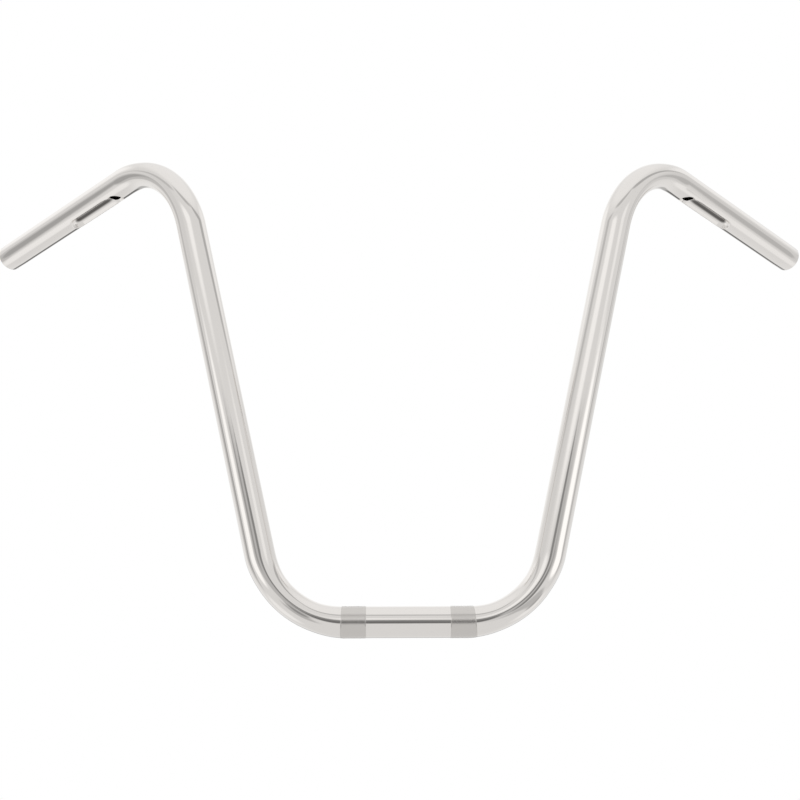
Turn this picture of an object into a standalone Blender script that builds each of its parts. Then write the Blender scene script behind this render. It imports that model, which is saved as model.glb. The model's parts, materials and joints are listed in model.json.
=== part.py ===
"""Tall "ape hanger" motorcycle handlebar: one bent steel tube, plated, open at both ends.

Units are metres.  +Z is up, +X is to the side and +Y is back towards the rider.  The origin is
the middle of the clamp section's centreline, and the uprights stand in the XZ plane.  The bar is
symmetric about X = 0, so its +X half is modelled and a Mirror modifier makes the other half.
"""
import math

import bmesh
import bpy
from mathutils import Matrix, Vector

# Tube
TUBE_RADIUS = 0.0127            # one-inch tube
WALL = 0.00305                  # 0.120 inch wall
BORE_RADIUS = TUBE_RADIUS - WALL
BEND_RADIUS = 0.072             # to the centreline, the same in all four bends
TUBE_SIDES = 24
BEND_STEPS = 10

# Centreline: where its straight runs would meet
CLAMP_CORNER_X = 0.107
TOP_CORNER_X = 0.200
TOP_CORNER_Z = 0.410
GRIP_RUN = 0.2575               # top corner to bar end
SWEEP = math.radians(42)        # grips turned back from the sideways direction
DROOP = math.radians(10)        # grips falling towards their ends

# Knurled bands that the riser clamps grip, 3.5 inches apart
KNURL_CENTRE = 0.04445
KNURL_WIDTH = 0.0205
KNURL_RAISE = 0.0002
KNURL_STEP = 0.0003             # length over which the band rises

# Wiring dimple pressed into the underside of each grip, with a hole drilled at its inner end
DIMPLE_LENGTH = 0.070
DIMPLE_FROM_BAR_END = 0.107     # bar end to the dimple's outer end
DIMPLE_DEPTH = 0.0055
DIMPLE_DIE_RADIUS = 0.009
DIMPLE_RAMP = 2.5               # the die's inner end is this many times longer than a round one
WIRE_HOLE_RADIUS = 0.005
WIRE_HOLE_INSET = 0.0066        # dimple's inner end to the hole's centre, which is on the ramp

# Slot where the wires leave, low on the clamp section's rear
EXIT_SLOT_LENGTH = 0.025
EXIT_SLOT_WIDTH = 0.012
EXIT_SLOT_TILT = math.radians(30)

OVERRUN = 0.010                 # how far cutters and the half tube run past where they are cut
CUTTER_SIDES = 24
DRILL_START = 0.001             # the wire hole's drill stops this far below the tube's middle
WELD_DISTANCE = 1e-6


# ---------------------------------------------------------------- scene and collections

def clear_scene():
    for thing in list(bpy.data.objects):
        bpy.data.objects.remove(thing, do_unlink=True)


def new_collection(name):
    collection = bpy.data.collections.new(name)
    bpy.context.scene.collection.children.link(collection)
    return collection


def chrome_plate():
    """Bright chrome over nickel on the steel tube."""
    material = bpy.data.materials.new("chrome_plate")
    material.use_nodes = True
    shader = material.node_tree.nodes["Principled BSDF"]
    shader.inputs["Base Color"].default_value = (0.80, 0.80, 0.79, 1.0)
    shader.inputs["Metallic"].default_value = 1.0
    shader.inputs["Roughness"].default_value = 0.10
    return material


# ---------------------------------------------------------------- the centreline

def grip_direction():
    """Unit vector along the +X grip, towards its end."""
    level = math.cos(DROOP)
    return Vector((level * math.cos(SWEEP), level * math.sin(SWEEP), -math.sin(DROOP)))


def grip_underside():
    """Unit vector square to the +X grip that points down as far as it can."""
    along = grip_direction()
    down = Vector((0, 0, -1))
    return (down - along * down.dot(along)).normalized()


def corners():
    """Corners of the +X half's centreline, from just past the middle to the bar end."""
    top = Vector((TOP_CORNER_X, 0, TOP_CORNER_Z))
    return [
        Vector((-OVERRUN, 0, 0)),
        Vector((CLAMP_CORNER_X, 0, 0)),
        top,
        top + grip_direction() * GRIP_RUN,
    ]


def bar_end():
    return corners()[-1]


def bend_points(before, corner, after, angles):
    """Points on the bend that rounds a corner, at the given angles from the bend's start."""
    incoming = (corner - before).normalized()
    outgoing = (after - corner).normalized()
    turn = incoming.angle(outgoing)
    start = corner - incoming * BEND_RADIUS * math.tan(turn / 2)
    inward = (outgoing - incoming * outgoing.dot(incoming)).normalized()
    centre = start + inward * BEND_RADIUS
    return [
        centre - inward * BEND_RADIUS * math.cos(angle) + incoming * BEND_RADIUS * math.sin(angle)
        for angle in angles
    ]


def turn_at(before, corner, after):
    return (corner - before).angle(after - corner)


def centreline():
    """The +X half's centreline as (point, in_knurl) pairs, knurl edges included."""
    start, clamp_corner, top, end = corners()
    first_turn = turn_at(start, clamp_corner, top)
    second_turn = turn_at(clamp_corner, top, end)
    straight = CLAMP_CORNER_X - BEND_RADIUS * math.tan(first_turn / 2)

    knurl_start = KNURL_CENTRE - KNURL_WIDTH / 2
    knurl_end_angle = (KNURL_CENTRE + KNURL_WIDTH / 2 - straight) / BEND_RADIUS
    step_angle = KNURL_STEP / BEND_RADIUS

    points = [(start, False)]
    for distance, knurled in ((knurl_start - KNURL_STEP, False), (knurl_start, True)):
        points.append((Vector((distance, 0, 0)), knurled))

    angles = [(0.0, True), (knurl_end_angle, True), (knurl_end_angle + step_angle, False)]
    for step in range(1, BEND_STEPS + 1):
        angle = first_turn * step / BEND_STEPS
        if angle > knurl_end_angle + step_angle:
            angles.append((angle, False))
    bend = bend_points(start, clamp_corner, top, [angle for angle, knurled in angles])
    points.extend((point, knurled) for point, (angle, knurled) in zip(bend, angles))

    angles = [second_turn * step / BEND_STEPS for step in range(BEND_STEPS + 1)]
    points.extend((point, False) for point in bend_points(clamp_corner, top, end, angles))
    points.append((end, False))
    return points


# ---------------------------------------------------------------- solids

def tube_solid(name, points, radius, collection):
    """A round rod along (point, radius_factor) pairs, made as a bevelled curve, then a mesh."""
    curve = bpy.data.curves.new(name + "_curve", "CURVE")
    curve.dimensions = "3D"
    curve.fill_mode = "FULL"
    curve.bevel_depth = radius
    curve.bevel_resolution = TUBE_SIDES // 2 - 2
    curve.use_fill_caps = True
    spline = curve.splines.new("POLY")
    spline.points.add(len(points) - 1)
    for slot, (point, factor) in zip(spline.points, points):
        slot.co = (*point, 1.0)
        slot.radius = factor

    guide = bpy.data.objects.new(name + "_curve", curve)
    collection.objects.link(guide)
    graph = bpy.context.evaluated_depsgraph_get()
    mesh = bpy.data.meshes.new_from_object(guide.evaluated_get(graph))
    mesh.name = name
    tube = bpy.data.objects.new(name, mesh)
    tube.matrix_world = guide.matrix_world
    collection.objects.link(tube)
    bpy.data.objects.remove(guide, do_unlink=True)

    cage = bmesh.new()
    cage.from_mesh(mesh)
    bmesh.ops.remove_doubles(cage, verts=cage.verts, dist=WELD_DISTANCE)
    cage.to_mesh(mesh)
    cage.free()
    return tube


def as_cutter(thing):
    thing.hide_render = True
    thing.display_type = "WIRE"
    return thing


def cut(target, cutter):
    boolean = target.modifiers.new("cut_" + cutter.name, "BOOLEAN")
    boolean.operation = "DIFFERENCE"
    boolean.solver = "EXACT"
    boolean.object = cutter


def dimple_die(name, radius, collection):
    """The rounded bar that presses the dimple: a turned capsule lying along the grip.

    Its outer end is round and its inner end is a long ramp, up which the wires leave.
    """
    along = grip_direction()
    down = grip_underside()
    die_depth = TUBE_RADIUS - DIMPLE_DEPTH + DIMPLE_DIE_RADIUS
    end_reach = math.sqrt(DIMPLE_DIE_RADIUS ** 2 - (die_depth - TUBE_RADIUS) ** 2)
    outer_core = DIMPLE_LENGTH / 2 - end_reach
    inner_core = end_reach * DIMPLE_RAMP - DIMPLE_LENGTH / 2

    mesh = bpy.data.meshes.new(name)
    profile = bmesh.new()
    steps = CUTTER_SIDES // 4
    rim = []
    for core, stretch, first in ((outer_core, 1, 0), (inner_core, DIMPLE_RAMP, steps)):
        for step in range(steps + 1):
            angle = math.pi / 2 * (first + step) / steps
            rim.append((radius * math.sin(angle), core + stretch * radius * math.cos(angle)))
    verts = [profile.verts.new((x, 0, z)) for x, z in rim]
    for upper, lower in zip(verts, verts[1:]):
        profile.edges.new((upper, lower))
    profile.to_mesh(mesh)
    profile.free()

    die = bpy.data.objects.new(name, mesh)
    collection.objects.link(die)
    screw = die.modifiers.new("turn", "SCREW")
    screw.axis = "Z"
    screw.steps = CUTTER_SIDES
    screw.render_steps = CUTTER_SIDES
    screw.use_merge_vertices = True
    screw.merge_threshold = WELD_DISTANCE

    middle = bar_end() - along * (DIMPLE_FROM_BAR_END + DIMPLE_LENGTH / 2) + down * die_depth
    side = along.cross(down)
    die.matrix_world = Matrix.Translation(middle) @ Matrix((down, side, along)).transposed().to_4x4()
    return as_cutter(die)


def wire_hole_drill(collection):
    """A drill square to the grip, from below the dimple up into the bore."""
    along = grip_direction()
    down = grip_underside()
    inner_end = bar_end() - along * (DIMPLE_FROM_BAR_END + DIMPLE_LENGTH)
    centre = inner_end + along * WIRE_HOLE_INSET
    top = centre + down * DRILL_START
    bottom = centre + down * (TUBE_RADIUS + OVERRUN)

    bpy.ops.mesh.primitive_cylinder_add(
        vertices=CUTTER_SIDES, radius=WIRE_HOLE_RADIUS, depth=(bottom - top).length)
    drill = bpy.context.object
    drill.name = "wire_hole_drill"
    side = along.cross(down)
    drill.matrix_world = (Matrix.Translation((top + bottom) / 2)
                          @ Matrix((side, along, down)).transposed().to_4x4())
    for home in list(drill.users_collection):
        home.objects.unlink(drill)
    collection.objects.link(drill)
    return as_cutter(drill)


def exit_slot_cutter(collection):
    """A round-ended slot cutter, square to the clamp section and tilted down from the rear."""
    half_straight = (EXIT_SLOT_LENGTH - EXIT_SLOT_WIDTH) / 2
    depth = TUBE_RADIUS + OVERRUN
    outward = Vector((0, math.cos(EXIT_SLOT_TILT), -math.sin(EXIT_SLOT_TILT)))

    mesh = bpy.data.meshes.new("exit_slot_cutter")
    shape = bmesh.new()
    bmesh.ops.create_cone(
        shape, cap_ends=True, segments=CUTTER_SIDES,
        radius1=EXIT_SLOT_WIDTH / 2, radius2=EXIT_SLOT_WIDTH / 2, depth=depth,
        matrix=Matrix.Rotation(math.pi / CUTTER_SIDES, 4, "Z"))
    for vert in shape.verts:
        vert.co.x += math.copysign(half_straight, vert.co.x)
    shape.to_mesh(mesh)
    shape.free()

    cutter = bpy.data.objects.new("exit_slot_cutter", mesh)
    side = Vector((1, 0, 0))
    cutter.matrix_world = (Matrix.Translation(outward * depth / 2)
                           @ Matrix((side, outward.cross(side), outward)).transposed().to_4x4())
    collection.objects.link(cutter)
    return as_cutter(cutter)


# ---------------------------------------------------------------- the handlebar

def bore_cutter(collection):
    """The space inside the tube, kept one wall away from the dimple."""
    points = [(point, 1.0) for point, knurled in centreline()]
    points[0] = (points[0][0] - Vector((OVERRUN, 0, 0)), 1.0)
    points[-1] = (bar_end() + grip_direction() * OVERRUN, 1.0)
    bore = as_cutter(tube_solid("bore_cutter", points, BORE_RADIUS, collection))
    cut(bore, dimple_die("dimple_wall", DIMPLE_DIE_RADIUS + WALL, collection))
    return bore


def handlebar_tube(parts, cutters):
    knurl_factor = 1 + KNURL_RAISE / TUBE_RADIUS
    points = [(point, knurl_factor if knurled else 1.0) for point, knurled in centreline()]
    tube = tube_solid("handlebar_tube", points, TUBE_RADIUS, parts)
    tube.data.materials.append(chrome_plate())

    cut(tube, dimple_die("dimple_die", DIMPLE_DIE_RADIUS, cutters))
    cut(tube, bore_cutter(cutters))
    cut(tube, wire_hole_drill(cutters))
    cut(tube, exit_slot_cutter(cutters))

    mirror = tube.modifiers.new("other_half", "MIRROR")
    mirror.use_axis = (True, False, False)
    mirror.use_bisect_axis = (True, False, False)
    mirror.use_clip = True
    mirror.merge_threshold = WELD_DISTANCE * 10

    tube.data.shade_smooth()
    tube.data.set_sharp_from_angle(angle=math.radians(30))
    return tube


def main():
    clear_scene()
    parts = new_collection("handlebar")
    cutters = new_collection("handlebar_cutters")
    handlebar_tube(parts, cutters)


main()
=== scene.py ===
"""A bare chromed "ape hanger" handlebar in a plain white studio.

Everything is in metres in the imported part's frame: +X sideways, +Y back towards the rider, +Z up,
with the origin in the middle of the clamp section.
"""
import json
import math

import bmesh
import bpy
import numpy as np
from mathutils import Matrix, Vector


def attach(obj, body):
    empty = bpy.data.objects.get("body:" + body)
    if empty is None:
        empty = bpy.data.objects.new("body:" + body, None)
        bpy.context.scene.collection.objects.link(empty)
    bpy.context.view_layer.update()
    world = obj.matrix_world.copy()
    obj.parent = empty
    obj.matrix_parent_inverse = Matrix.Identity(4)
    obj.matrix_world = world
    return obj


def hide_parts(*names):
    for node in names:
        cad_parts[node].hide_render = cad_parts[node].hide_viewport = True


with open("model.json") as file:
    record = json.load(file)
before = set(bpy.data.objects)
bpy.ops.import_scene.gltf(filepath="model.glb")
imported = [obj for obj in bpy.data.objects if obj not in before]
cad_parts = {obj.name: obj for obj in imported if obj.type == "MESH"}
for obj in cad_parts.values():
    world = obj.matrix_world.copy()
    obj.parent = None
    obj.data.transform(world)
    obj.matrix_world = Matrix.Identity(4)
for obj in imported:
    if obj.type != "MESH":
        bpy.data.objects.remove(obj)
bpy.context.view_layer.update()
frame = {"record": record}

# Tube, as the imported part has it
TUBE_RADIUS = 0.0127
WALL = 0.00305
BORE_RADIUS = TUBE_RADIUS - WALL
BEND_RADIUS = 0.072
CLAMP_CORNER = np.array((0.107, 0.0, 0.0))
TOP_CORNER = np.array((0.200, 0.0, 0.410))
END_ROUNDING = 0.0012           # outer edge of the cut ends, rolled over by polishing
END_ROUNDING_STEPS = 5
BORE_CHAMFER = 0.0004

# Bending squashes the tube's section a little in the plane of the bend
LOWER_SQUASH = 0.08
UPPER_SQUASH = 0.09
BULGE_SHARE = 0.35              # how much of the squash comes back as width across the bend
SQUASH_RUN_IN = 0.030           # length over which it begins and ends, inside the bend

# Knurled bands, rolled a little off the bar's middle
KNURL_START = 0.0342
KNURL_END = 0.0547
KNURL_OFFSET = 0.0020           # both bands towards +X
KNURL_RAISE = 0.0002            # tops of the diamonds above the tube
KNURL_DEPTH = 0.00006
KNURL_FLAT = 0.50               # share of a diamond's slope that its flat top cuts off
KNURL_AROUND = 80               # diamonds round the tube
KNURL_PITCH = 0.0010            # one diamond along the tube
KNURL_FADE = 0.0008             # length over which the band rises at each edge
POINTS_PER_DIAMOND = 4          # mesh points across one diamond, both ways

# Wiring dimple under each grip
DIMPLE_LENGTH = 0.070
DIMPLE_FROM_BAR_END = 0.107
DIMPLE_DEPTH = 0.0055
DIE_RADIUS = 0.009
DIMPLE_ROUNDING = 0.0007
DIE_HEIGHT = TUBE_RADIUS - DIMPLE_DEPTH + DIE_RADIUS
DIMPLE_RAMP = 2.5               # the die's inner end is this many times longer than a round one
WIRE_HOLE_RADIUS = 0.005
WIRE_HOLE_INSET = 0.0066
EXIT_SLOT_LENGTH = 0.025
EXIT_SLOT_WIDTH = 0.012
EXIT_SLOT_TILT = math.radians(30)

# Drilling: each hole starts just below the tube's middle, and a 45 degree countersink that starts
# just under the surface breaks its edge
DRILL_START = 0.001
SINK_START = 0.0004
SINK_DEPTH = 0.006
HOLE_SIDES = 64
CAP_NORMAL = 0.9                # faces that look along the drill more than this are its flat ends

# Mesh density
PLAIN_SIDES = 96
KNURL_SIDES = KNURL_AROUND * POINTS_PER_DIAMOND
BORE_SIDES = 64
PLAIN_RING_GAP = 0.020
BEND_RING_GAP = 0.002
EXIT_RING_GAP = 0.001
DIMPLE_RING_GAP = 0.0005
BORE_DIMPLE_COARSENESS = 3      # the bore's rings at a dimple are this many times further apart
DIMPLE_MARGIN = 0.004           # fine rings go on this far past each end of the dimple
DIMPLE_FAN = 48.0               # degrees either side of the underside that the fine points cover
FAN_STEP = 1.2
REST_STEP = 4.0
KNURL_CLEAR = 0.0004            # no other ring comes this near the fine rings of a band
DIMPLE_CLEAR = 0.001            # the same for a dimple
RAY_STEPS = 400                 # samples along each ray that looks for the dimpled surface
RAY_REACH = 1.002               # how far a ray goes, as a share of the tube's radius
NEARLY_ZERO = 1e-12
SHARP_ANGLE = math.radians(35)  # edges sharper than this aren't smoothed

# Material slots on the mesh, and the attribute that tells how deep a point lies in a dimple
PLATE, KNURLED, BARE = 0, 1, 2
RECESS = "recess"

# Finishes
CHROME_COLOUR = (0.755, 0.730, 0.704, 1)
KNURL_COLOUR = (0.590, 0.568, 0.545, 1)
# dimple bottom colour: partly thin dull plate, partly painted dark reflection and shade in the recess
DULL_PLATE_AND_SHADE_COLOUR = (0.100, 0.093, 0.087, 1)
RUST_COLOUR = (0.10, 0.075, 0.055, 1)
STEEL_COLOUR = (0.22, 0.21, 0.20, 1)
WHITE = (1, 1, 1, 1)
DULL_PLATE_AND_SHADE_DEPTHS = (0.74, 0.95)      # shares of the dimple's depth where the dull plate and painted shade start and are complete
POLISH_ROUGHNESS = (0.045, 0.085)
DULL_ROUGHNESS = 0.30
KNURL_ROUGHNESS = (0.13, 0.20)
BORE_ROUGHNESS = (0.55, 0.38)   # rust, then steel
BORE_METALNESS = 0.85
NOISE_SPREAD = (0.3, 0.7)       # the part of a noise's range that a finish is spread over
HAZE_SPREAD = (0.35, 0.75)
STAIN_SPREAD = (0.40, 0.65)
HAZE_SCALE = 60.0
WAVE_SCALE = 45.0
WAVE_STRENGTH = 0.10
WAVE_HEIGHT = 0.0004
GRAIN_SCALE = 900.0
STAIN_SCALE = 120.0

# Floor
FLOOR_HEIGHT = -0.6
FLOOR_RADIUS = 1.5
FLOOR_SIDES = 96
FLOOR_COLOUR = (0.86, 0.86, 0.86, 1)
FLOOR_ROUGHNESS = 0.9

# Camera
CAMERA_DISTANCE = 1.10
CAMERA_AZIMUTH = math.radians(-0.89)
CAMERA_ELEVATION = math.radians(-12.03)
CAMERA_ROLL = math.radians(-0.228)
CAMERA_AIM = Vector((-0.0039, 0.0, 0.1846))
LENS = 58.75
SENSOR_WIDTH = 36.0
CLIP_START = 0.05
CLIP_END = 20.0


# ---------------------------------------------------------------- the centreline

def unit(vector):
    return vector / np.linalg.norm(vector)


def underside_of(along):
    """The direction square to the tube that is nearest to straight down."""
    down = np.array((0.0, 0.0, -1.0))
    return unit(down - along * along.dot(down))


def bar_end():
    """Middle of the +X end face: the mount sits on the wall's ring, above the bore."""
    mount = next(m for m in frame["record"]["mounts"] if m["name"] == "right_bar_end")
    along = unit(np.array(mount["axis"], float))
    up = unit(np.array((0.0, 0.0, 1.0)) - along * along[2])
    return np.array(mount["pos_m"], float) - up * (TUBE_RADIUS + BORE_RADIUS) / 2


class Straight:
    """A straight run of the centreline."""

    def __init__(self, start, along, length):
        self.start = start
        self.along = along
        self.length = length

    def frame_at(self, distance, down, front):
        return self.start + self.along * distance, self.along, down, front


class Bend:
    """An arc of the centreline, where the tube's section is squashed a little."""

    def __init__(self, start, along, inward, turn, squash):
        self.start = start
        self.along = along
        self.inward = inward
        self.across = np.cross(along, inward)
        self.length = BEND_RADIUS * turn
        self.squash = squash

    def turned(self, vector, angle):
        """A vector square to the tube at the bend's start, carried round by an angle."""
        inwards = self.inward * math.cos(angle) - self.along * math.sin(angle)
        return inwards * vector.dot(self.inward) + self.across * vector.dot(self.across)

    def frame_at(self, distance, down, front):
        angle = distance / BEND_RADIUS
        centre = (self.start + self.along * BEND_RADIUS * math.sin(angle)
                  + self.inward * BEND_RADIUS * (1 - math.cos(angle)))
        along = self.along * math.cos(angle) + self.inward * math.sin(angle)
        return centre, along, self.turned(down, angle), self.turned(front, angle)


class Centreline:
    """The +X half's centreline, measured from the middle, with directions carried along it.

    down and front start as straight down and straight forward at the middle of the bar, and turn
    with the bends without twisting about the tube.
    """

    def __init__(self):
        corners = [np.zeros(3), CLAMP_CORNER, TOP_CORNER, bar_end()]
        at = corners[0]
        self.runs = []
        for before, corner, after, squash in zip(
                corners, corners[1:], corners[2:], (LOWER_SQUASH, UPPER_SQUASH)):
            incoming = unit(corner - before)
            outgoing = unit(after - corner)
            turn = math.acos(incoming.dot(outgoing))
            setback = BEND_RADIUS * math.tan(turn / 2)
            start = corner - incoming * setback
            self.runs.append(Straight(at, incoming, np.linalg.norm(start - at)))
            inward = unit(outgoing - incoming * outgoing.dot(incoming))
            self.runs.append(Bend(start, incoming, inward, turn, squash))
            at = corner + outgoing * setback
        self.runs.append(Straight(at, unit(corners[-1] - at), np.linalg.norm(corners[-1] - at)))

        self.starts = []
        self.carried = []
        distance = 0.0
        down, front = np.array((0.0, 0.0, -1.0)), np.array((0.0, -1.0, 0.0))
        for run in self.runs:
            self.starts.append(distance)
            self.carried.append((down, front))
            distance += run.length
            down, front = run.frame_at(run.length, down, front)[2:]
        self.length = distance

    def run_at(self, distance):
        index = max(i for i, start in enumerate(self.starts) if start <= distance or i == 0)
        return index, distance - self.starts[index]

    def frame_at(self, distance):
        index, along_run = self.run_at(distance)
        return self.runs[index].frame_at(along_run, *self.carried[index])

    def squash_at(self, distance):
        """(in-plane scale, across scale, inward direction) where the tube is squashed by a bend."""
        for start, run in zip(self.starts, self.runs):
            if isinstance(run, Bend):
                before = distance - start
                after = start + run.length - distance
                share = smoothstep(before / SQUASH_RUN_IN) * smoothstep(after / SQUASH_RUN_IN)
                if share > 0:
                    angle = before / BEND_RADIUS
                    inward = run.turned(run.inward, angle)
                    squash = run.squash * share
                    return 1 - squash, 1 + squash * BULGE_SHARE, inward
        return None


def smoothstep(x):
    x = min(max(x, 0.0), 1.0)
    return x * x * (3 - 2 * x)


# ---------------------------------------------------------------- the tube's surface

def knurl_height(along_band, angles):
    """Diamond knurl: two crossing sets of grooves, as height above the tube's plain surface."""
    around = angles / (2 * math.pi) * KNURL_AROUND
    along = along_band / KNURL_PITCH
    ridge = [1 - np.abs(2 * np.mod(around + slant * along, 1.0) - 1) for slant in (0.5, -0.5)]
    left = KNURL_END - KNURL_START - along_band
    fade = smoothstep(along_band / KNURL_FADE) * smoothstep(left / KNURL_FADE)
    slope = np.minimum(np.minimum(*ridge) / (1 - KNURL_FLAT), 1.0)
    return fade * (KNURL_RAISE - KNURL_DEPTH * (1 - slope))


def past_core(from_middle):
    """How far a place along the grip is past the die's straight core, shortened on the ramp."""
    end_reach = math.sqrt(DIE_RADIUS ** 2 - (DIE_HEIGHT - TUBE_RADIUS) ** 2)
    past_outer = from_middle - (DIMPLE_LENGTH / 2 - end_reach)
    past_inner = end_reach * DIMPLE_RAMP - DIMPLE_LENGTH / 2 - from_middle
    return max(past_outer, past_inner / DIMPLE_RAMP, 0.0)


def dimple_radii(from_middle, angles, radius, die_radius):
    """Tube radius in each direction once the die has been pressed in.

    from_middle is the distance along the grip from the dimple's middle, and the angles are from
    its underside.  The pressed edge is rounded by blending the two surfaces' distances.
    """
    steps = np.linspace(0.0, radius * RAY_REACH, RAY_STEPS)
    down = steps[None, :] * np.cos(angles)[:, None]
    side = steps[None, :] * np.sin(angles)[:, None]
    beyond = past_core(from_middle)
    die = np.sqrt((down - DIE_HEIGHT) ** 2 + side ** 2 + beyond ** 2)
    to_tube = steps[None, :] - radius
    to_die = die_radius - die
    blend = np.maximum(DIMPLE_ROUNDING - np.abs(to_tube - to_die), 0) / DIMPLE_ROUNDING
    inside = np.maximum(to_tube, to_die) + blend ** 2 * DIMPLE_ROUNDING / 4
    first = np.argmax(inside >= 0, axis=1)
    low = np.maximum(first - 1, 0)
    rows = np.arange(len(angles))
    a, b = inside[rows, low], inside[rows, first]
    share = np.where(b > a, -a / np.maximum(b - a, NEARLY_ZERO), 0.0)
    found = steps[low] + (steps[first] - steps[low]) * np.clip(share, 0, 1)
    return np.where(inside.max(axis=1) < 0, radius, np.minimum(found, radius))


def degree_steps(low, high, step):
    """Angles from low to high, both included: degrees in, radians out."""
    return np.radians(np.arange(low, high + step / 2, step))


def dimple_angles():
    """Ring angles round the underside: close together across the dimple, sparse elsewhere."""
    rest_start = DIMPLE_FAN + REST_STEP
    fine = degree_steps(-DIMPLE_FAN, DIMPLE_FAN, FAN_STEP)
    coarse = degree_steps(rest_start, 360 - rest_start, REST_STEP)
    return np.concatenate([fine, coarse])


def with_fine_stretch(marks, low, high, count, clear):
    """The marks with those near a stretch replaced by even ones, and one just outside each end."""
    kept = {mark for mark in marks if not low - clear < mark < high + clear}
    kept.update(np.linspace(low, high, count))
    kept.update((low - clear / 2, high + clear / 2))
    return kept


class Surface:
    """One wall surface of the tube, outer or bore, as rings of points along the centreline."""

    def __init__(self, line, side, radius, die_radius, sides, knurled):
        self.line = line
        self.side = side
        self.radius = radius
        self.die_radius = die_radius
        self.sides = sides
        self.knurled = knurled
        self.knurl_start = KNURL_START + side * KNURL_OFFSET
        self.knurl_end = KNURL_END + side * KNURL_OFFSET
        self.dimple_middle = line.length - DIMPLE_FROM_BAR_END - DIMPLE_LENGTH / 2
        self.dimple_reach = DIMPLE_LENGTH / 2 + DIMPLE_MARGIN
        along, down, front = line.frame_at(self.dimple_middle)[1:]
        underside = underside_of(along)
        self.underside_angle = math.atan2(underside.dot(front), underside.dot(down))

    def in_dimple(self, distance):
        return abs(distance - self.dimple_middle) <= self.dimple_reach

    def in_knurl(self, distance):
        return self.knurled and self.knurl_start <= distance <= self.knurl_end

    def ring_angles(self, distance):
        if self.in_dimple(distance):
            return dimple_angles() + self.underside_angle
        if self.in_knurl(distance):
            return np.arange(KNURL_SIDES) * 2 * math.pi / KNURL_SIDES
        return np.arange(self.sides) * 2 * math.pi / self.sides

    def ring(self, distance, angles, shrink=0.0):
        """Points of a ring, and how deep each lies in the dimple, as a share of its depth."""
        centre, along, down, front = self.line.frame_at(distance)
        radii = np.full(len(angles), self.radius - shrink)
        if self.in_dimple(distance):
            radii = dimple_radii(distance - self.dimple_middle, angles - self.underside_angle,
                                 self.radius, self.die_radius)
        recess = (self.radius - shrink - radii) / DIMPLE_DEPTH
        if self.in_knurl(distance):
            radii = radii + knurl_height(distance - self.knurl_start, angles)
        offsets = radii[:, None] * (np.cos(angles)[:, None] * down + np.sin(angles)[:, None] * front)
        squashed = self.line.squash_at(distance)
        if squashed:
            in_plane, across, inward = squashed
            inwards = (offsets @ inward)[:, None] * inward
            offsets = inwards * in_plane + (offsets - inwards) * across
        return (centre + offsets) * (self.side, 1, 1), recess

    def stations(self):
        """Ring distances: close together where the surface changes, sparse on plain runs."""
        marks = {0.0, self.line.length}
        for start, run in zip(self.line.starts, self.line.runs):
            if isinstance(run, Bend):
                low, high = start - SQUASH_RUN_IN, start + run.length + SQUASH_RUN_IN
                marks.update(np.linspace(low, high, int((high - low) / BEND_RING_GAP)))
            else:
                count = 2 + int(run.length / PLAIN_RING_GAP)
                marks.update(np.linspace(start, start + run.length, count))
        marks.update(np.arange(EXIT_RING_GAP, EXIT_SLOT_LENGTH, EXIT_RING_GAP))
        if self.knurled:
            low, high = self.knurl_start, self.knurl_end
            count = 1 + round((high - low) / KNURL_PITCH * POINTS_PER_DIAMOND)
            marks = with_fine_stretch(marks, low, high, count, KNURL_CLEAR)
        low = self.dimple_middle - self.dimple_reach
        high = self.dimple_middle + self.dimple_reach
        gap = DIMPLE_RING_GAP if self.knurled else DIMPLE_RING_GAP * BORE_DIMPLE_COARSENESS
        marks = with_fine_stretch(marks, low, high, int((high - low) / gap), DIMPLE_CLEAR)
        return sorted(mark for mark in marks if 0 <= mark <= self.line.length)


# ---------------------------------------------------------------- mesh building

class Skin:
    """Collects rings of points and the faces that join them."""

    def __init__(self):
        self.points = []
        self.recess = []
        self.faces = []
        self.slots = []

    def add_ring(self, surface, distance, angles, shrink=0.0):
        first = len(self.points)
        points, recess = surface.ring(distance, angles, shrink)
        self.points.extend(tuple(point) for point in points)
        self.recess.extend(recess)
        return first, np.asarray(angles)

    def join(self, ring, following, slot):
        """Faces between two rings: quads where their angles match, triangles where they don't."""
        (first, angles), (other, others) = ring, following
        count, other_count = len(angles), len(others)
        if count == other_count and np.allclose(angles, others):
            for i in range(count):
                j = (i + 1) % count
                self.faces.append((first + i, first + j, other + j, other + i))
                self.slots.append(slot)
            return
        turn = 2 * math.pi
        start = int(np.argmin(np.abs(np.mod(others - angles[0] + math.pi, turn) - math.pi)))
        begin = angles[0]
        mine = list(np.mod(angles - begin, turn)) + [turn]
        theirs = [np.mod(others[(start + k) % other_count] - begin + math.pi, turn) - math.pi
                  for k in range(other_count)]
        theirs = [t if k == 0 or t > 0 else t + turn for k, t in enumerate(theirs)]
        theirs.append(theirs[0] + turn)
        i = k = 0
        while i < count or k < other_count:
            here, there = first + i % count, other + (start + k) % other_count
            if k == other_count or (i < count and mine[i + 1] <= theirs[k + 1]):
                self.faces.append((here, first + (i + 1) % count, there))
                i += 1
            else:
                self.faces.append((here, other + (start + k + 1) % other_count, there))
                k += 1
            self.slots.append(slot)


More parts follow.
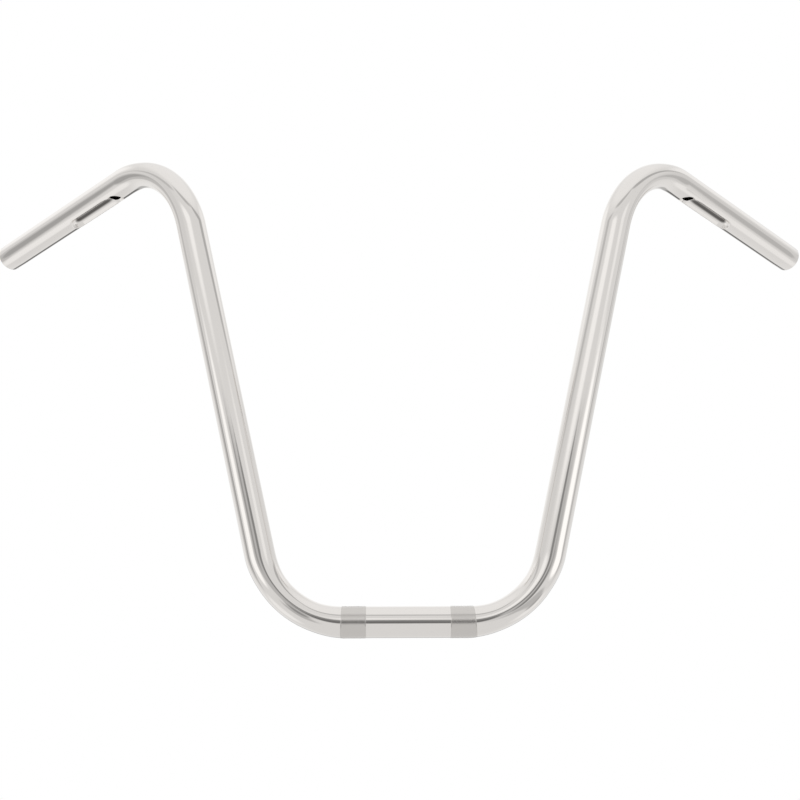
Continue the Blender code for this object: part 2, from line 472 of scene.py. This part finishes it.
def add_half(skin, line, side, shared):
    """One half's wall: out along the tube's surface, round its end and back through the bore.

    shared holds the two rings at the middle of the bar, which the second half takes from the first.
    """
    outer = Surface(line, side, TUBE_RADIUS, DIE_RADIUS, PLAIN_SIDES, knurled=True)
    bore = Surface(line, side, BORE_RADIUS, DIE_RADIUS + WALL, BORE_SIDES, knurled=False)
    previous = None
    for distance in outer.stations():
        if distance > line.length - END_ROUNDING:
            continue
        angles = outer.ring_angles(distance)
        if previous is None:
            if "outer" not in shared:
                shared["outer"] = skin.add_ring(outer, distance, angles)
            previous, last = shared["outer"], distance
            continue
        ring = skin.add_ring(outer, distance, angles)
        both_knurled = outer.in_knurl(distance) and outer.in_knurl(last)
        skin.join(previous, ring, KNURLED if both_knurled else PLATE)
        previous, last = ring, distance

    # Square-cut end: rounded edge, flat ring, chamfer into the bore
    end = []
    for step in range(END_ROUNDING_STEPS + 1):
        angle = math.pi / 2 * step / END_ROUNDING_STEPS
        end.append((outer, END_ROUNDING * (math.sin(angle) - 1), END_ROUNDING * (1 - math.cos(angle))))
    end.extend(((bore, 0.0, -BORE_CHAMFER), (bore, -BORE_CHAMFER, 0.0)))
    for surface, beyond, shrink in end:
        angles = surface.ring_angles(line.length)
        ring = skin.add_ring(surface, line.length + beyond, angles, shrink)
        skin.join(previous, ring, PLATE)
        previous = ring

    for distance in reversed(bore.stations()):
        if distance > line.length - BORE_CHAMFER:
            continue
        angles = bore.ring_angles(distance)
        if distance == 0 and "bore" in shared:
            ring = shared["bore"]
        else:
            ring = skin.add_ring(bore, distance, angles)
        skin.join(previous, ring, BARE)
        previous = ring
    shared["bore"] = previous


def skin_mesh(skin, name):
    mesh = bpy.data.meshes.new(name)
    mesh.from_pydata(skin.points, [], skin.faces)
    mesh.polygons.foreach_set("material_index", skin.slots)
    mesh.polygons.foreach_set("use_smooth", [True] * len(skin.faces))
    recess = mesh.attributes.new(RECESS, "FLOAT", "POINT")
    recess.data.foreach_set("value", skin.recess)
    mesh.update()
    tidy = bmesh.new()
    tidy.from_mesh(mesh)
    bmesh.ops.recalc_face_normals(tidy, faces=tidy.faces)
    tidy.to_mesh(mesh)
    tidy.free()
    return mesh


# ---------------------------------------------------------------- holes

def add_object(name, mesh):
    thing = bpy.data.objects.new(name, mesh)
    bpy.context.scene.collection.objects.link(thing)
    return thing


def placed(side, other, outward, middle):
    """A matrix whose local X, Y and Z are the three directions given."""
    turn = Matrix((side, other, outward)).transposed().to_4x4()
    return Matrix.Translation(middle) @ turn


def hole_cutter(name, radius, straight, stretch):
    """A drill along Z with a 45 degree countersink at its far end, stretched along X for a slot."""
    shape = bmesh.new()
    bmesh.ops.create_cone(shape, cap_ends=True, segments=HOLE_SIDES, radius1=radius,
                          radius2=radius, depth=straight,
                          matrix=Matrix.Rotation(math.pi / HOLE_SIDES, 4, "Z"))
    far_cap = max(shape.faces, key=lambda face: face.calc_center_median().z)
    flared = bmesh.ops.extrude_discrete_faces(shape, faces=[far_cap])["faces"][0]
    for vert in flared.verts:
        vert.co.x *= 1 + SINK_DEPTH / radius
        vert.co.y *= 1 + SINK_DEPTH / radius
        vert.co.z += SINK_DEPTH
    bmesh.ops.translate(shape, verts=shape.verts, vec=(0, 0, straight / 2))
    for vert in shape.verts:
        vert.co.x += math.copysign(stretch, vert.co.x)
    mesh = bpy.data.meshes.new(name)
    shape.to_mesh(mesh)
    shape.free()
    for face in mesh.polygons:
        face.use_smooth = abs(face.normal.z) < CAP_NORMAL
    return add_object(name, mesh)


def cut_and_bake(target, cutters):
    """Cuts every hole, keeps the result as the target's own mesh and removes the cutters."""
    for cutter in cutters:
        boolean = target.modifiers.new("cut", "BOOLEAN")
        boolean.operation = "DIFFERENCE"
        boolean.solver = "EXACT"
        boolean.object = cutter
    graph = bpy.context.evaluated_depsgraph_get()
    baked = bpy.data.meshes.new_from_object(target.evaluated_get(graph))
    target.modifiers.clear()
    target.data = baked
    for cutter in cutters:
        bpy.data.objects.remove(cutter, do_unlink=True)


def hole_cutters(line):
    """The wire hole at each dimple's inner end, and the exit slot on the clamp section's rear.

    Each is a straight drill with a countersink that breaks its outer edge.
    """
    distance = line.length - DIMPLE_FROM_BAR_END - DIMPLE_LENGTH + WIRE_HOLE_INSET
    centre, along = line.frame_at(distance)[:2]
    underside = underside_of(along)
    past = past_core(WIRE_HOLE_INSET - DIMPLE_LENGTH / 2)
    ramp_height = DIE_HEIGHT - math.sqrt(DIE_RADIUS ** 2 - past ** 2)
    holes = []
    for side in (1, -1):
        flip = np.array((side, 1, 1))
        middle, axis, out = Vector(centre * flip), Vector(along * flip), Vector(underside * flip)
        holes.append(("wire_hole", middle, axis, out, WIRE_HOLE_RADIUS, 0.0, ramp_height))
    out = Vector((0, math.cos(EXIT_SLOT_TILT), -math.sin(EXIT_SLOT_TILT)))
    stretch = (EXIT_SLOT_LENGTH - EXIT_SLOT_WIDTH) / 2
    holes.append(("exit_slot", Vector(), Vector((1, 0, 0)), out, EXIT_SLOT_WIDTH / 2, stretch,
                  TUBE_RADIUS))

    cutters = []
    for name, middle, axis, out, radius, stretch, surface in holes:
        cutter = hole_cutter(name, radius, surface - SINK_START - DRILL_START, stretch)
        cutter.matrix_world = placed(axis, out.cross(axis), out, middle + out * DRILL_START)
        cutters.append(cutter)
    return cutters


# ---------------------------------------------------------------- materials

class Nodes:
    """Short helper for building a node tree."""

    def __init__(self, tree):
        self.tree = tree

    def add(self, kind, **values):
        node = self.tree.nodes.new(kind)
        for name, value in values.items():
            setattr(node, name, value)
        return node

    def link(self, source, target):
        self.tree.links.new(source, target)

    def math(self, operation, *values):
        """A Math node's result; each value is a number or another node's output."""
        node = self.add("ShaderNodeMath", operation=operation)
        for slot, value in zip(node.inputs, values):
            if isinstance(value, (int, float)):
                slot.default_value = value
            else:
                self.link(value, slot)
        return node.outputs[0]


def new_material(name):
    material = bpy.data.materials.new(name)
    material.use_nodes = True
    return material, material.node_tree.nodes["Principled BSDF"], Nodes(material.node_tree)


def noise(nodes, scale, detail, roughness=0.5):
    where = nodes.add("ShaderNodeTexCoord")
    texture = nodes.add("ShaderNodeTexNoise")
    texture.inputs["Scale"].default_value = scale
    texture.inputs["Detail"].default_value = detail
    texture.inputs["Roughness"].default_value = roughness
    nodes.link(where.outputs["Object"], texture.inputs["Vector"])
    return texture


def ranged(nodes, source, low, high, to_low, to_high, interpolation="LINEAR"):
    """The source, clamped from low to high and spread from to_low to to_high."""
    mapped = nodes.add("ShaderNodeMapRange", interpolation_type=interpolation)
    names = ("From Min", "From Max", "To Min", "To Max")
    for name, value in zip(names, (low, high, to_low, to_high)):
        mapped.inputs[name].default_value = value
    nodes.link(source, mapped.inputs["Value"])
    return mapped.outputs["Result"]


def mixed(nodes, kind, share, low, high):
    """low where the share is 0 and high where it is 1; each is a value or a node's output."""
    mix = nodes.add("ShaderNodeMix", data_type=kind)
    nodes.link(share, mix.inputs["Factor"])
    ends = [slot for slot in mix.inputs if slot.enabled and slot.name in ("A", "B")]
    for slot, value in zip(ends, (low, high)):
        if isinstance(value, bpy.types.NodeSocket):
            nodes.link(value, slot)
        else:
            slot.default_value = value
    return next(slot for slot in mix.outputs if slot.enabled)


def chrome_plate():
    """Bright chrome with a faint haze and a barely wavy surface.

    Plating and polishing reach the bottom of a pressed dimple least, so it is drawn dull and rough
    there; its dark colour there is partly that thin dull plate and partly painted dark reflection and
    shade in the recess.
    """
    material, shader, nodes = new_material("chrome_plate")
    shader.inputs["Metallic"].default_value = 1.0
    depth = nodes.add("ShaderNodeAttribute", attribute_name=RECESS).outputs["Fac"]
    # painted shade: the deepest part of each dimple is darkened by depth, partly for thin dull plate
    # and partly as painted dark reflection and shade
    dull = ranged(nodes, depth, *DULL_PLATE_AND_SHADE_DEPTHS, 0.0, 1.0)
    nodes.link(mixed(nodes, "RGBA", dull, CHROME_COLOUR, DULL_PLATE_AND_SHADE_COLOUR), shader.inputs["Base Color"])
    haze = ranged(nodes, noise(nodes, HAZE_SCALE, 4.0).outputs["Fac"], *HAZE_SPREAD, *POLISH_ROUGHNESS)
    nodes.link(mixed(nodes, "FLOAT", dull, haze, DULL_ROUGHNESS), shader.inputs["Roughness"])
    waves = noise(nodes, WAVE_SCALE, 2.0)
    bump = nodes.add("ShaderNodeBump")
    bump.inputs["Strength"].default_value = WAVE_STRENGTH
    bump.inputs["Distance"].default_value = WAVE_HEIGHT
    nodes.link(waves.outputs["Fac"], bump.inputs["Height"])
    nodes.link(bump.outputs["Normal"], shader.inputs["Normal"])
    return material


def knurled_chrome():
    """The same plate on the rolled knurl, which makes it duller and darker."""
    material, shader, nodes = new_material("knurled_chrome")
    shader.inputs["Base Color"].default_value = KNURL_COLOUR
    shader.inputs["Metallic"].default_value = 1.0
    grain = noise(nodes, GRAIN_SCALE, 3.0)
    nodes.link(ranged(nodes, grain.outputs["Fac"], *NOISE_SPREAD, *KNURL_ROUGHNESS),
               shader.inputs["Roughness"])
    return material


def bare_steel():
    """Unplated bore: dull drawn steel with rust-brown stains."""
    material, shader, nodes = new_material("bare_steel")
    shader.inputs["Metallic"].default_value = BORE_METALNESS
    stains = noise(nodes, STAIN_SCALE, 6.0, 0.6)
    colour = nodes.add("ShaderNodeValToRGB")
    ends = zip(colour.color_ramp.elements, STAIN_SPREAD, (RUST_COLOUR, STEEL_COLOUR))
    for element, position, tint in ends:
        element.position = position
        element.color = tint
    nodes.link(stains.outputs["Fac"], colour.inputs["Fac"])
    nodes.link(colour.outputs["Color"], shader.inputs["Base Color"])
    nodes.link(ranged(nodes, stains.outputs["Fac"], *NOISE_SPREAD, *BORE_ROUGHNESS),
               shader.inputs["Roughness"])
    return material


# ---------------------------------------------------------------- the handlebar

def handlebar():
    line = Centreline()
    skin = Skin()
    shared = {}
    for side in (1, -1):
        add_half(skin, line, side, shared)
    mesh = skin_mesh(skin, "handlebar")
    bar = add_object("handlebar", mesh)
    for material in (chrome_plate(), knurled_chrome(), bare_steel()):
        mesh.materials.append(material)
    cut_and_bake(bar, hole_cutters(line))
    bar.data.set_sharp_from_angle(angle=SHARP_ANGLE)
    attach(bar, "root")
    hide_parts("handlebar_tube")
    return bar


# ---------------------------------------------------------------- studio

# The room that the chrome reflects.  Azimuth is from the front, + towards +X; elevation is from
# the horizon; both, and the half sizes and tilt, are in degrees.  Later panels lie over earlier
# ones.  softness is the share of a panel's half size over which its edge fades.
BASE_LEVEL = 0.88
PANELS = (
    # name, azimuth, elevation, half width, half height, tilt, softness, level
    ("ceiling", 0, 90, 400, 40, 0, 0.35, 1.03),
    ("rear_wall_left", -160, 20, 26, 24, 0, 0.6, 1.12),
    ("rear_wall_right", 172, 30, 22, 20, 0, 0.6, 1.08),
    ("rear_low_left", -142, -10, 30, 26, 0, 0.7, 1.00),
    ("rear_low_right", 142, -22, 36, 24, 0, 0.7, 0.95),
    ("rear_shade", 180, -7, 26, 13, 0, 0.2, 0.55),
    ("rear_shade_core", 180, -11, 11, 10, 0, 0.3, 0.20),
    ("low_bounce_left", -104, -46, 24, 13, 0, 0.4, 1.08),
    ("low_bounce_right", 104, -42, 20, 14, 0, 0.4, 1.05),
    ("left_front_wall", -68, 14, 18, 16, 0, 0.4, 0.82),
    ("high_left", -122, 36, 20, 11, 0, 0.5, 1.15),
    ("high_right", 120, 35, 22, 10, 0, 0.5, 1.06),
    ("left_gap", -96, -8, 13, 21, 0, 0.2, 0.66),
    ("left_gap_core", -90, -8, 7, 13, 0, 0.3, 0.47),
    ("right_gap", 97, 0, 10, 28, 0, 0.35, 0.80),
    ("right_gap_core", 91, -6, 6, 14, 0, 0.35, 0.60),
    ("right_post", 110, 8, 5, 8, 0, 0.4, 0.74),
    ("arch_left", -68, 32, 27, 4, 18, 0.4, 0.64),
    ("arch_middle", 0, 49, 34, 4, 0, 0.4, 0.60),
    ("arch_right", 68, 39, 36, 5, -18, 0.3, 0.54),
    ("low_wedge", 52, -31, 40, 8, -15, 0.3, 0.60),
    ("low_wedge_end", 82, -39, 9, 7, 0, 0.4, 0.50),
    ("left_box", -55, -8, 16, 14, 0, 0.25, 1.26),
    ("right_box", 62, -7, 22, 11, -20, 0.25, 1.34),
    ("left_kicker", -18, 22, 20, 8, 0, 0.4, 1.14),
    ("right_kicker", 45, 15, 11, 8, 0, 0.4, 1.06),
    ("front_shade", 0, -2, 37, 12, 0, 0.2, 0.60),
    ("front_shade_low", -27, -33, 12, 10, 0, 0.4, 0.58),
    ("camera_body", 0, -4, 7, 8, 0, 0.2, 0.20),
    ("camera_top", 2, 8, 8, 4, 0, 0.4, 0.30),
    ("camera_right", 20, -7, 7, 9, 0, 0.35, 0.28),
    ("camera_left", -18, -20, 5, 9, -30, 0.4, 0.36),
    ("camera_left_arm", -24, 3, 6, 4, 0, 0.4, 0.42),
)


def direction_angles(nodes):
    """Azimuth and elevation, in degrees, of the direction that the world is seen in."""
    where = nodes.add("ShaderNodeTexCoord")
    split = nodes.add("ShaderNodeSeparateXYZ")
    nodes.link(where.outputs["Generated"], split.inputs[0])
    front = nodes.math("MULTIPLY", split.outputs["Y"], -1.0)
    azimuth = nodes.math("DEGREES", nodes.math("ARCTAN2", split.outputs["X"], front))
    elevation = nodes.math("DEGREES", nodes.math("ARCSINE", split.outputs["Z"]))
    return azimuth, elevation


def panel_mask(nodes, azimuth, elevation, panel):
    """1 inside an oval panel and 0 outside it."""
    name, at_azimuth, at_elevation, half_width, half_height, tilt, softness = panel[:-1]
    sideways = nodes.math("WRAP", nodes.math("SUBTRACT", azimuth, at_azimuth), 180.0, -180.0)
    join = nodes.add("ShaderNodeCombineXYZ", label=name)
    nodes.link(sideways, join.inputs["X"])
    nodes.link(elevation, join.inputs["Y"])
    place = nodes.add("ShaderNodeMapping", vector_type="TEXTURE")
    place.inputs["Location"].default_value = (0, at_elevation, 0)
    place.inputs["Rotation"].default_value = (0, 0, math.radians(tilt))
    place.inputs["Scale"].default_value = (half_width, half_height, 1)
    nodes.link(join.outputs[0], place.inputs["Vector"])
    reach = nodes.add("ShaderNodeVectorMath", operation="LENGTH")
    nodes.link(place.outputs[0], reach.inputs[0])
    return ranged(nodes, reach.outputs["Value"], 1 - softness, 1 + softness, 1.0, 0.0, "SMOOTHSTEP")


def studio_light():
    """A plain white backdrop for the camera, and the room's soft panels for the chrome."""
    world = bpy.data.worlds.new("studio")
    world.use_nodes = True
    bpy.context.scene.world = world
    nodes = Nodes(world.node_tree)
    azimuth, elevation = direction_angles(nodes)
    level = BASE_LEVEL
    for panel in PANELS:
        mask = panel_mask(nodes, azimuth, elevation, panel)
        level = mixed(nodes, "FLOAT", mask, level, panel[-1])
    room = world.node_tree.nodes["Background"]
    room.inputs["Color"].default_value = WHITE
    nodes.link(level, room.inputs["Strength"])
    backdrop = nodes.add("ShaderNodeBackground")
    backdrop.inputs["Color"].default_value = WHITE
    seen = nodes.add("ShaderNodeLightPath")
    choose = nodes.add("ShaderNodeMixShader")
    nodes.link(seen.outputs["Is Camera Ray"], choose.inputs[0])
    nodes.link(room.outputs[0], choose.inputs[1])
    nodes.link(backdrop.outputs[0], choose.inputs[2])
    nodes.link(choose.outputs[0], world.node_tree.nodes["World Output"].inputs["Surface"])


def floor():
    """A pale round floor below the bar.  The chrome reflects the room's own level instead of it."""
    bpy.ops.mesh.primitive_circle_add(vertices=FLOOR_SIDES, radius=FLOOR_RADIUS, fill_type="NGON",
                                      location=(0, 0, FLOOR_HEIGHT))
    ground = bpy.context.object
    ground.name = "studio_floor"
    ground.visible_glossy = False
    material, shader, nodes = new_material("studio_floor")
    shader.inputs["Base Color"].default_value = FLOOR_COLOUR
    shader.inputs["Roughness"].default_value = FLOOR_ROUGHNESS
    ground.data.materials.append(material)


def camera():
    data = bpy.data.cameras.new("camera")
    data.lens = LENS
    data.sensor_width = SENSOR_WIDTH
    data.clip_start = CLIP_START
    data.clip_end = CLIP_END
    view = bpy.data.objects.new("camera", data)
    bpy.context.scene.collection.objects.link(view)
    level = math.cos(CAMERA_ELEVATION)
    back = Vector((math.sin(CAMERA_AZIMUTH) * level, -math.cos(CAMERA_AZIMUTH) * level,
                   math.sin(CAMERA_ELEVATION)))
    facing = (-back).to_track_quat("-Z", "Y").to_matrix().to_4x4()
    view.matrix_world = (Matrix.Translation(CAMERA_AIM + back * CAMERA_DISTANCE) @ facing
                         @ Matrix.Rotation(CAMERA_ROLL, 4, "Z"))
    bpy.context.scene.camera = view


handlebar()
floor()
studio_light()
camera()
bpy.context.scene.view_settings.view_transform = "Standard"
